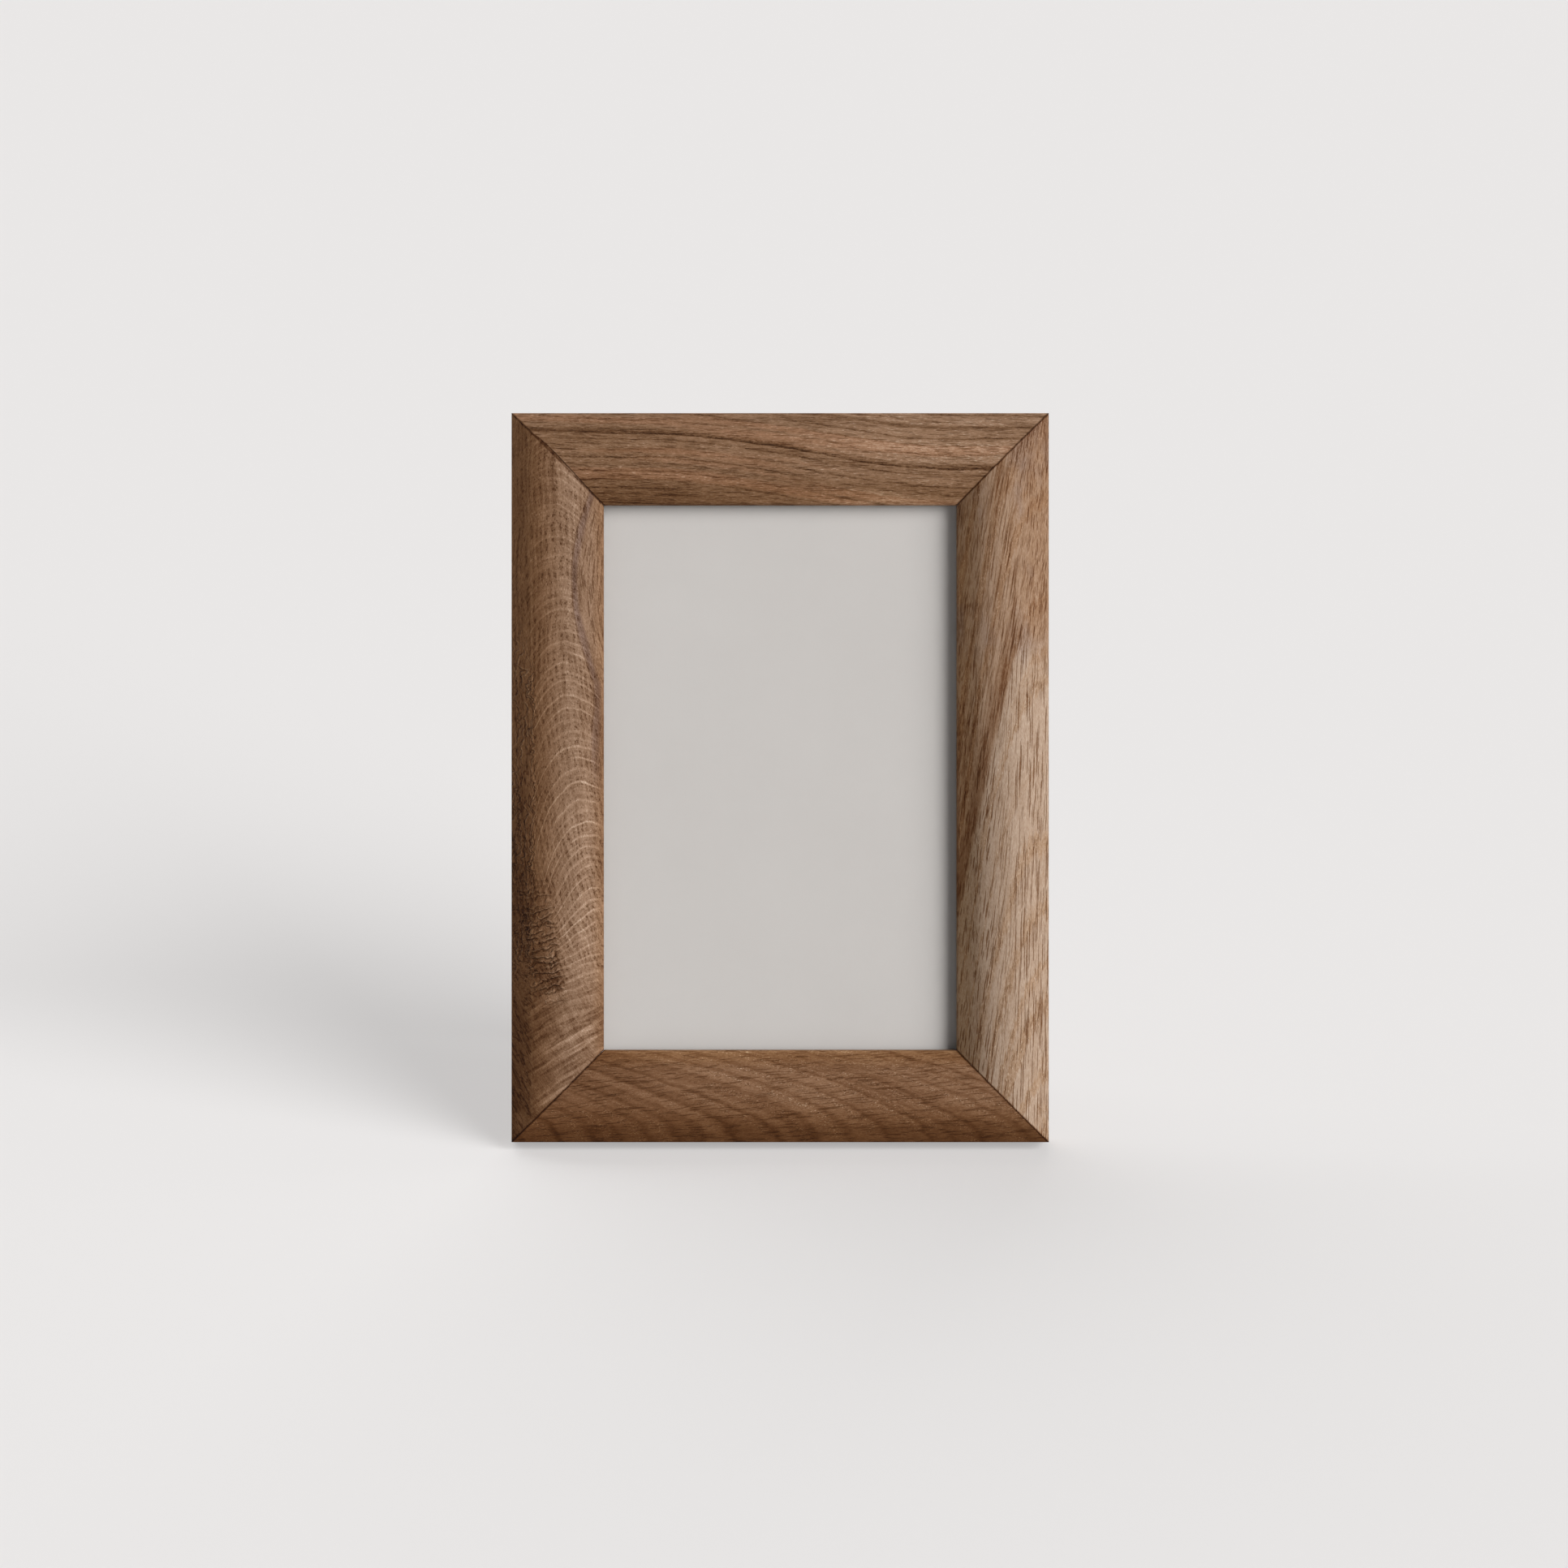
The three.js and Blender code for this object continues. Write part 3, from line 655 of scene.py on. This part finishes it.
# Top rail: long growth bands that fall slightly to the right, two of them darker than the rest, with fine
# pores, pale flecks and dark specks along them.
def top_figure(along, height, across):
    right = 0 - along
    at = point(across, height, right)
    wander = cloud(at, (0.06, 0.06, 0.02), 2, 0.5, 2.4) * 2.4
    wander = wander + cloud(at, (1.1, 1.1, 0.2), 2, 0.6, 6.2) * 0.9
    ring = across - rise(right, -35.0, 45.0) * 8.2 - right * 0.015 + wander
    course = point(ring, height, right)
    broad = cloud(course, (0.2, 0.0, 0.006), 2, 0.6, 8.3)
    kept = rise(cloud(course, (0.5, 0.0, 0.05), 2, 0.6, 3.3), 0.38, 0.54)
    line = seams(ring, 0.5, 0.75) * kept
    main = rise(abs(ring - 7.5), 0.8, 0.15) + rise(abs(ring + 3.3), 0.8, 0.15)
    lie = point(across - right * 0.04, height, right)
    grain = fibre(lie, 0.7)
    pore = strokes(lie, (0.34, 0.34, 5.0), 0.37)
    fleck = strokes(lie, (0.34, 0.34, 1.5), 0.27, 5.5)
    speck = strokes(lie, (0.34, 0.34, 0.8), 0.14 + line * 0.24 + main * 0.16, 2.5)
    tone = 0.55 + (broad - 0.5) * 0.6 - line * 0.19 - main * 0.24
    tone = tone + rise(across, 17.0, 23.0) * 0.04 + rise(across, 14.0, 6.0) * 0.03
    tone = tone + rise(right, -5.0, 35.0) * 0.14 - rise(right, -10.0, -45.0) * 0.04
    tone = tone + grain * 0.68 - pore * 0.22 + fleck * 0.16 - speck * 0.17
    tints = [(rise(across, 14.0, 22.0), (0.98, 0.92, 0.82)), (rise(broad, 0.52, 0.62), (1.04, 0.95, 0.9))]
    return tone, grain * 0.03 - pore * 0.05 + fleck * 0.03 - speck * 0.04, tints


oak(
    "top_rail",
    top_figure,
    [
        (0.035, 0.013, 0.0045),
        (0.085, 0.037, 0.0145),
        (0.165, 0.088, 0.045),
        (0.275, 0.163, 0.098),
        (0.48, 0.35, 0.25),
    ],
)


# Left rail: fine columns of pores with pale rays across them in arcs, which swing inwards towards the foot
# round a dark burl with wrinkled folds. A grey streak runs down beside them, bark lines down the outer
# flank, and short slanting strokes cross the foot.
def left_figure(along, height, across):
    # The pores' columns, u across the rail and v along it. The outer side is drawn as if unrolled.
    up_rail = frame_height * mm / 2 - along
    behind = outer_edge_height * mm - height
    across = across - behind.maths("MAXIMUM", behind, 0.0)
    down = (170 - up_rail).maths("MAXIMUM", 170 - up_rail, 0.0)
    waver = cloud(point(across, height, up_rail), (0.12, 0.12, 0.04), 2, 0.5, 5.4) - 0.5
    u = across - down * down * down * 9.26e-6 + waver * 3
    from_apex = across - 10.8 - down * 0.06 - down * down * 0.00055
    steepness = rise(down, 132.0, 102.0) * 0.068 + 0.014
    v = up_rail + from_apex * from_apex * steepness
    # The burl, which draws the columns out of line, and the grey streak.
    heart = across - 9.0 - (45 - up_rail) * 0.16
    burl = rise(abs(heart), 6.0, 2.5) * rise(up_rail, 33.0, 42.0) * rise(up_rail, 76.0, 56.0)
    ripple = cloud(point(across, 0.0, up_rail), (0.22, 0.0, 0.3), 3, 0.6, 2.2) - 0.5
    u = u + ripple * burl * 4
    flow = point(u, 0.0, v)
    path = (up_rail - 146) * (up_rail - 146) * 0.0072 + 16.8
    path = path.maths("MINIMUM", path, 21.8)
    beside = path - across + waver * 3
    # The pale arcs: strongest at half height, faint above and plain near the foot.
    course = v + (cloud(flow, (0.15, 0.0, 0.12), 2, 0.5, 1.9) - 0.5) * 2.5
    shown = rise(cloud(flow, (0.1, 0.0, 0.3), 2, 0.6, 8.8), 0.3, 0.5) * rise(beside, -2.5, 0.5)
    shown = shown * rise(across, 3.5, 7.5) * (1 - burl)
    each = cloud(point(course, 0.0, 0.0), (0.4, 0.0, 0.0), 0, 0.5, 6.1)
    plain = rise(up_rail, 48.0, 36.0) * 0.7
    faint = rise(up_rail, 100.0, 138.0)
    arc = seams(course, 0.36, plain * 1.4 + faint * 0.6 + 1.1) * shown * rise(each, 0.1, 0.62)
    arc = arc * (1 - plain * 0.4) * (1 - faint * 0.42)
    thin = seams(course, 0.85, 0.5) * shown
    # Dark columns and their pores.
    column = abs((u / 1.4).maths("FRACT", u / 1.4 + waver * 2) - 0.5) * 2
    patch = cloud(flow, (0.35, 0.0, 0.3), 2, 0.6, 3.3)
    dark = rise(column, 0.2, 0.8) * rise(patch, 0.36, 0.58) * (1 - arc)
    beyond_streak = rise(beside, 0.0, -2.5) * rise(up_rail, 85.0, 110.0)
    dark = dark * (1 - beyond_streak * 0.7) * (1 - plain)
    pore = strokes(flow, (0.4, 0.4, 0.7), 0.26 + dark * 0.16) * (1 - arc * 0.7)
    pore = pore * (1 - beyond_streak) * (1 - plain)
    pore = pore + strokes(point(beside, 0.0, up_rail), (0.34, 0.34, 5.0), 0.36, 2.9) * beyond_streak
    # The burl's wrinkles and the bark lines on the outer flank, each a dark line with a painted highlight
    # beside it, and the finest marks.
    crumple = up_rail - across * 0.25 + ripple * 4.6
    folds = rise(cloud(point(across, 0.0, up_rail), (0.3, 0.0, 0.5), 2, 0.5, 7.3), 0.32, 0.46) * burl
    # Each wrinkle is a dark line with a painted highlight beside it, as if lit from one side.
    wrinkle_and_highlight = (seams(crumple, 0.6, 0.75) - seams(crumple - 0.55, 0.6, 0.9)) * folds
    shred = across + (cloud(point(across, 0.0, up_rail), (0.12, 0.0, 0.2), 3, 0.65, 5.1) - 0.5) * 9
    bark = rise(across, 8.0, 4.0) * rise(up_rail, 36.0, 50.0) * rise(up_rail, 142.0, 118.0)
    bark = bark * rise(cloud(point(across, 0.0, up_rail), (0.3, 0.0, 0.06), 2, 0.5, 9.9), 0.38, 0.55)
    # Each bark line is a dark line with a painted highlight beside it.
    shreds_and_highlights = (seams(shred, 0.7, 0.5) - seams(shred - 0.45, 0.7, 0.5) * 0.8) * bark
    tick = strokes(flow, (0.34, 0.34, 0.7), 0.26, 6.5)
    hairline = rise(abs(cloud(flow, (0.42, 0.0, 0.09), 3, 0.65, 4.9) - 0.5), 0.03, 0.0)
    outer = rise(across, 7.0, 4.5)
    inner = rise(across, 15.0, 20.0) * rise(down, 90.0, 60.0)
    grain = fibre(flow)
    lines = hairline * (outer * rise(up_rail, 140.0, 100.0) * 1.2 + outer * 0.3 + burl * 0.7)
    # A cutter line along the outer flank, painted as a light line where its ridge catches the light.
    tool_line_highlight = rise(abs(across - 5.6), 0.3, 0.1)
    # All of it together, with the broad light and dark places.
    flank = rise(across, 6.0, 1.0) * rise(across, -5.0, -1.0)
    tone = 0.6 - dark * 0.13 + arc * 0.18 + thin * 0.08 + grain * 0.75 - pore * 0.2
    tone = tone + tick * 0.12 - lines * 0.2 + tool_line_highlight * 0.06 - inner * 0.06
    tone = tone + ripple * burl * 0.4 - burl * 0.05 - wrinkle_and_highlight * 0.18 - shreds_and_highlights * 0.24
    tone = tone + outer * rise(up_rail, 75.0, 110.0) * 0.1
    tone = tone - flank * rise(up_rail, 98.0, 65.0) * rise(abs(up_rail - 45), 4.0, 14.0) * 0.14
    streak = rise(abs(beside + 0.5), 1.3, 0.2) * rise(up_rail, 85.0, 110.0)
    rim = rise(abs(beside - 0.4), 0.26, 0.08) * rise(patch, 0.3, 0.45) * rise(up_rail, 95.0, 110.0)
    tone = tone - streak * 0.06 - rim * 0.16
    tone = tone - rise(abs(up_rail - 38), 18.0, 8.0) * rise(abs(across - 10), 5.0, 2.0) * 0.05
    tone = tone - rise(up_rail, 50.0, 34.0) * rise(across, 2.0, 7.0) * 0.12
    tone = tone - rise(abs(up_rail - 90), 45.0, 10.0) * rise(across, 20.0, 23.0) * 0.09
    # Strokes across the foot, and a pale scuff low on its outer flank.
    slant = point(up_rail * 0.87 - across * 0.5, 0.0, across * 0.87 + up_rail * 0.5)
    dash = strokes(slant, (1.7, 1.7, 17.0), 0.4, 3.9) - strokes(slant, (1.6, 1.6, 15.0), 0.42, 9.2)
    tone = tone + dash * rise(up_rail, 46.0, 38.0) * rise(across, 2.0, 6.0) * 0.13
    leaning_out = point(up_rail * 0.4 + across * 0.9, 0.0, up_rail * 0.9 - across * 0.4)
    graze = strokes(leaning_out, (0.9, 0.9, 9.0), 0.38, 6.1) * rise(across, 7.0, 4.0)
    tone = tone - graze * rise(up_rail, 42.0, 30.0) * 0.14
    scuff = rise(abs(across - 2.6), 2.4, 0.6) * rise(abs(up_rail - 6), 3.4, 0.8)
    tone = tone + scuff * 0.2
    relief = grain * 0.04 - pore * 0.05 + arc * 0.02 - lines * 0.06 - wrinkle_and_highlight * 0.25 - shreds_and_highlights * 0.2
    tints = [
        (streak, (0.84, 0.86, 1.02)),
        (rise(across, 20.5, 24.0), (1.0, 0.92, 0.8)),
        # Painted shade: the outer part, turned from the light, made warmer and deeper.
        (rise(across, 18.0, 2.0) * (rise(across, -3.0, 0.0) * 0.7 + 0.3), (0.84, 0.64, 0.42)),
    ]
    return tone, relief, tints


oak(
    "left_rail",
    left_figure,
    [
        (0.028, 0.009, 0.003),
        (0.078, 0.034, 0.014),
        (0.16, 0.09, 0.051),
        (0.265, 0.167, 0.108),
        (0.44, 0.33, 0.245),
    ],
)

# Glass over the insert: a cut pane of float glass, clear but for its faint shine. It lies in the rebate,
# held in by what is behind it.
material, shader, at = surface("glass", Matrix())
shader.inputs["Base Color"].default_value = (1, 1, 1, 1)
shader.inputs["Metallic"].default_value = 1
shader.inputs["Roughness"].default_value = 0.02
facing = at.node("ShaderNodeLayerWeight", {}, {"Blend": 0.5}, 1)
shine_head_on, shine_gain_aslant = 0.012, 0.9
shine = facing.maths("POWER", facing, 5.0) * shine_gain_aslant + shine_head_on
shader.id_data.links.new(shine.socket, shader.inputs["Alpha"])
dress(frame["nodes"]["glass_pane"], material)

# Paper insert: a blank matt sheet with a little tooth and a few specks, cut to the size of the glass and
# pressed flat against it.
material, shader, at = surface("insert_paper", Matrix())
mottle = cloud(at, (0.02, 0.02, 0.02), 3, 0.6, 2.2) - 0.5
tooth = cloud(at, (1.7, 1.7, 1.7), 3, 0.7, 8.1) - 0.5
speck = strokes(at, (9.0, 9.0, 9.0), 0.02, 4.0)
tone = 0.5 + mottle * 0.3 + tooth * 0.12 - speck * 0.3
finish_surface(shader, tones(tone, [(0.43, 0.405, 0.385), (0.56, 0.54, 0.52)]), tooth * 0.02)
shader.inputs["Roughness"].default_value = 0.9
dress(frame["nodes"]["paper_insert"], material)

# Filler card behind the insert: a sheet of brown board, made from waste paper with its specks still in it.
# It takes up the room between the insert and the back board.
material, shader, at = surface("filler_card", Matrix())
flecks = strokes(at, (1.1, 0.5, 0.5), 0.3) - strokes(at, (0.5, 0.5, 1.3), 0.28, 3.3)
pulp = cloud(at, (0.9, 0.9, 0.3), 4, 0.7, 1.4) - 0.5
browns = [(0.33, 0.215, 0.11), (0.47, 0.32, 0.17), (0.6, 0.43, 0.25)]
finish_surface(shader, tones(0.5 + pulp * 0.6 + flecks * 0.12, browns), pulp * 0.05)
shader.inputs["Roughness"].default_value = 0.95
dress(frame["nodes"]["filler_card"], material)

# Wedges across the joints: strips of zinc-plated steel, bent to a V. Two are driven into each mitre from
# the back, and hold the rails together.
material, shader, at = surface("wedge_steel", Matrix())
drawn = cloud(at, (3.0, 0.1, 3.0), 2, 0.7, 1.2) - 0.5
blotch = cloud(at, (0.3, 0.3, 0.3), 3, 0.6, 3.4) - 0.5
greys = [(0.2, 0.2, 0.2), (0.4, 0.4, 0.39), (0.6, 0.6, 0.58)]
finish_surface(shader, tones(0.5 + blotch + drawn * 0.6, greys), drawn * 0.01, 0.45 + blotch * 0.4)
shader.inputs["Metallic"].default_value = 1
for name in wedges:
    dress(frame["nodes"][name], material)

# Back board: 3 mm hardboard with its smooth side out and its sawn edges eased, held in by the clips. The
# leg is cut from the same sheet.
board_easing = 0.0003
easing_steps = 2
flat_within = math.radians(1)
piece_crease_angle = math.radians(40)


def eased(node, name, width):
    """A copy of a node with its sharp edges rounded off by `width`."""
    piece = copy_of(node, name)
    bpy.ops.object.mode_set(mode="EDIT")
    bpy.ops.mesh.select_all(action="SELECT")
    bpy.ops.mesh.dissolve_limited(angle_limit=flat_within)
    bpy.ops.object.mode_set(mode="OBJECT")
    apply_modifier(piece, "BEVEL", width=width, segments=easing_steps, limit_method="ANGLE")
    bpy.ops.object.shade_smooth_by_angle(angle=piece_crease_angle)
    apply_modifier(piece, "WEIGHTED_NORMAL", keep_sharp=True)
    return piece


def stand_for(piece, node, body):
    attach(piece, body)
    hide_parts(node)


def hardboard(name, placed):
    """Pressed wood fibre: brown, with a tangle of fine light and dark fibres under a faint sheen."""
    material, shader, at = surface(name, placed)
    along, height, up_board = split(at)
    turned = point(along * 0.7 + up_board * 0.7, height, up_board * 0.7 - along * 0.7)
    light = strokes(at, (3.4, 0.45, 0.45), 0.3) + strokes(turned, (3.0, 0.42, 0.42), 0.3, 4.2)
    dark = strokes(at, (0.42, 0.42, 3.2), 0.32, 8.3) + strokes(turned, (0.45, 0.45, 2.8), 0.3, 6.1)
    pulp = cloud(at, (1.4, 1.4, 1.4), 4, 0.75, 2.1) - 0.5
    patch = cloud(at, (0.05, 0.05, 0.05), 3, 0.55, 5.7) - 0.5
    tone = 0.48 + pulp * 1.0 + patch * 0.35 + light * 0.24 - dark * 0.24
    colour = tones(tone, [(0.07, 0.03, 0.013), (0.16, 0.082, 0.04), (0.3, 0.175, 0.095)])
    finish_surface(shader, colour, pulp * 0.03 + light * 0.01 - dark * 0.01, 0.52 + pulp * 0.3)
    shader.inputs["Specular IOR Level"].default_value = 0.35
    return material


rear_panel = eased("back_board", "rear_panel", board_easing)
dress(rear_panel, hardboard("back_board", Matrix()))
stand_for(rear_panel, "back_board", "frame")

# Swivel clips and their screws: stamped zinc-plated steel. Each clip turns on a cross-head screw in the
# rail, and its tip keeps the back board in.
def plated(name, bright):
    """Zinc plate over rolled steel: dull blotches under fine lines along the sheet."""
    material, shader, at = surface(name, Matrix())
    rolled = cloud(at, (0.07, 5.0, 5.0), 2, 0.75, 1.2) - 0.5
    blotch = cloud(at, (0.22, 0.22, 0.22), 4, 0.6, 3.4) - 0.5
    scuff = strokes(at, (2.8, 0.5, 0.5), 0.14, 2.6)
    tone = 0.5 + blotch * 0.9 + rolled * 0.5 + scuff * 0.2
    greys = ((0.2, 0.2, 0.2), (0.44, 0.44, 0.43), (0.68, 0.68, 0.66))
    colour = tones(tone, [[bright * part for part in grey] for grey in greys])
    finish_surface(shader, colour, rolled * 0.006 - scuff * 0.008, 0.4 + blotch * 0.5 - scuff * 0.08)
    shader.inputs["Metallic"].default_value = 1
    return material


sheet_zinc = plated("sheet_zinc", 1.0)
screw_zinc = plated("screw_zinc", 1.15)
clip_easing = 0.00012
# Each screw's place across the frame and up it.
clip_corners = {
    "lower_left": (-0.0593, 0.048),
    "lower_right": (0.0593, 0.048),
    "upper_right": (0.0593, 0.142),
    "upper_left": (-0.0593, 0.142),
}
head_top = 0.0025
recess_width, recess_half, recess_depth = 0.00055, 0.0014, 0.0011
recess_taper = (0.45, 1, 0.7)
recess_easing = 0.00005
recess_crease_angle = math.radians(35)


def cross_recess(x, z):
    """The two crossed blades that cut the driver's cross into a screw head. They narrow with depth."""
    blades = []
    deselect()
    for turn in (0, 90):
        bpy.ops.mesh.primitive_cube_add(size=1)
        blade = bpy.context.object
        blade.scale = (2 * recess_half, 2 * recess_depth, recess_width)
        bpy.ops.object.transform_apply(location=False, rotation=False, scale=True)
        bpy.ops.object.mode_set(mode="EDIT")
        select_where(lambda co: co.y < 0)
        bpy.ops.transform.resize(value=recess_taper)
        bpy.ops.object.mode_set(mode="OBJECT")
        place = Matrix.Translation((x, head_top, z)) @ Matrix.Rotation(math.radians(turn), 4, "Y")
        blade.matrix_world = leaning @ place
        bpy.ops.object.transform_apply(location=True, rotation=True, scale=True)
        blades.append(blade)
    return blades


for corner, (x, z) in clip_corners.items():
    clip = eased(f"swivel_clip_{corner}", f"{corner}_clip_plate", clip_easing)
    dress(clip, sheet_zinc)
    stand_for(clip, f"swivel_clip_{corner}", f"{corner}_clip")
    screw = copy_of(f"clip_screw_{corner}", f"{corner}_screw")
    for blade in cross_recess(x, z):
        cut_with(screw, blade)
    sharp = {"limit_method": "ANGLE", "angle_limit": piece_crease_angle}
    apply_modifier(screw, "BEVEL", width=recess_easing, segments=easing_steps, **sharp)
    bpy.ops.object.shade_smooth_by_angle(angle=recess_crease_angle)
    dress(screw, screw_zinc)
    stand_for(screw, f"clip_screw_{corner}", "frame")

# Sawtooth hanger: a punched strip of the same steel, raised in the middle, with teeth that rest on a screw
# in the wall. Two round-headed nails hold it on the top rail.
hanger_easing = 0.00008
nail_easing = 0.00005
hanger = eased("sawtooth_hanger", "hanger_strip", hanger_easing)
dress(hanger, sheet_zinc)
stand_for(hanger, "sawtooth_hanger", "frame")
for side in ("left", "right"):
    nail = eased(f"hanger_nail_{side}", f"{side}_nail", nail_easing)
    dress(nail, screw_zinc)
    stand_for(nail, f"hanger_nail_{side}", "frame")

# Hinge: two leaves of rolled steel on one pin. One leaf is riveted to the back board, the other to the
# leg, each with two brass rivets.
hinge_easing = 0.0001
rivet_easing = 0.00006
hinge = {
    "fixed_hinge_leaf": ("upper_leaf", "frame"),
    "moving_hinge_leaf": ("lower_leaf", "leg"),
    "hinge_pin": ("hinge_rod", "frame"),
}
for node, (name, body) in hinge.items():
    piece = eased(node, name, hinge_easing)
    dress(piece, screw_zinc if node == "hinge_pin" else sheet_zinc)
    stand_for(piece, node, body)

material, shader, at = surface("rivet_brass", Matrix())
tarnish = cloud(at, (0.5, 0.5, 0.5), 3, 0.6, 5.1) - 0.5
fine = cloud(at, (3.0, 3.0, 3.0), 2, 0.6, 1.9) - 0.5
golds = [(0.3, 0.18, 0.06), (0.58, 0.38, 0.13), (0.8, 0.57, 0.24)]
finish_surface(shader, tones(0.5 + tarnish + fine * 0.3, golds), fine * 0.004, 0.3 - tarnish * 0.4)
shader.inputs["Metallic"].default_value = 1
for holder, body in (("back", "frame"), ("leg", "leg")):
    for side in ("left", "right"):
        rivet = eased(f"{holder}_rivet_{side}", f"{side}_rivet_in_{holder}", rivet_easing)
        dress(rivet, material)
        stand_for(rivet, f"{holder}_rivet_{side}", body)

# Leg: one tapered panel of the same hardboard, its foot cut to lie flat on the table. The pattern of its
# fibres is turned with it about the hinge.
leg_angle = 25
pin_at = Vector((0, 0.0022, 0.148))
leg_place = Matrix.Translation(pin_at) @ Matrix.Rotation(math.radians(leg_angle), 4, "X")
leg_panel = eased("leg_board", "leg_panel", board_easing)
dress(leg_panel, hardboard("leg_board", leg_place))
stand_for(leg_panel, "leg_board", "leg")
